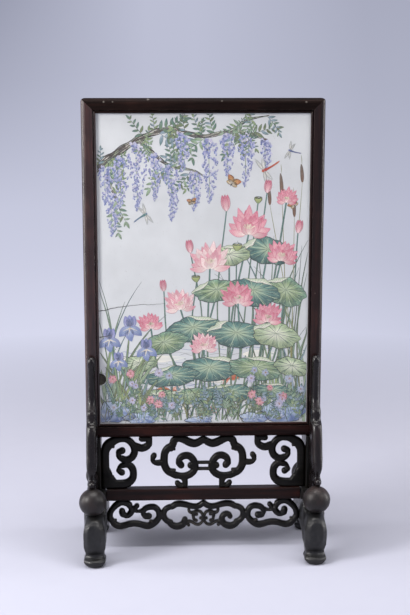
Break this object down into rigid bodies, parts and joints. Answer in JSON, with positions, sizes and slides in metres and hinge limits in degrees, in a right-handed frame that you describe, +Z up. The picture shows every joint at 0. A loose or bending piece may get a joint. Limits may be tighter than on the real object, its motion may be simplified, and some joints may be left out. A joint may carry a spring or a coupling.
{
  "type": "chinese table screen",
  "caption": "Free-standing table screen: a painted porcelain plaque in a mitred hardwood frame that lifts out of a carved stand with pierced scrollwork, balls and arched feet.",
  "frame": {"origin": "on the ground, under the middle of the stand", "axes": "+Z up; the plaque's painted face looks along -Y; +X is to the right of someone who faces it"},
  "size_m": [0.3392, 0.1654, 0.621],
  "materials": {
    "frame_wood": "satin, dark reddish brown",
    "stand_wood": "worn satin, nearly black",
    "porcelain": "glossy glaze",
    "packing_paper": "matte paper",
    "backing_wood": "plain planed board",
    "brass_pins": "aged",
    "peg_wood": "raw end grain"
  },
  "bodies": {
    "stand": {"left_post": "frame_wood", "right_post": "frame_wood", "lower_rail": "frame_wood", "left_foot": "stand_wood", "right_foot": "stand_wood", "spandrel_front_left": "stand_wood", "spandrel_front_right": "stand_wood", "spandrel_rear_left": "stand_wood", "spandrel_rear_right": "stand_wood", "ball_front_left": "stand_wood", "ball_front_right": "stand_wood", "ball_rear_left": "stand_wood", "ball_rear_right": "stand_wood", "left_scroll_bracket": "stand_wood", "right_scroll_bracket": "stand_wood", "cloud_panel": "stand_wood", "apron": "stand_wood", "ball_dowels": "peg_wood", "spandrel_pegs": "peg_wood", "openwork_pegs": "peg_wood", "apron_pegs": "peg_wood"},
    "framed_plaque": {"frame_top_rail": "frame_wood", "frame_bottom_rail": "frame_wood", "frame_left_stile": "frame_wood", "frame_right_stile": "frame_wood", "porcelain_plaque": "porcelain", "packing_sheet": "packing_paper", "backing_board": "backing_wood", "rear_bead_top": "frame_wood", "rear_bead_bottom": "frame_wood", "rear_bead_left": "frame_wood", "rear_bead_right": "frame_wood", "bead_pins": "brass_pins", "corner_pegs": "peg_wood"}
  },
  "joints": [
    {"name": "frame_lift", "type": "slide", "parent": "stand", "child": "framed_plaque", "axis": [0, 0, 1], "range_m": [0, 0.12]}
  ]
}
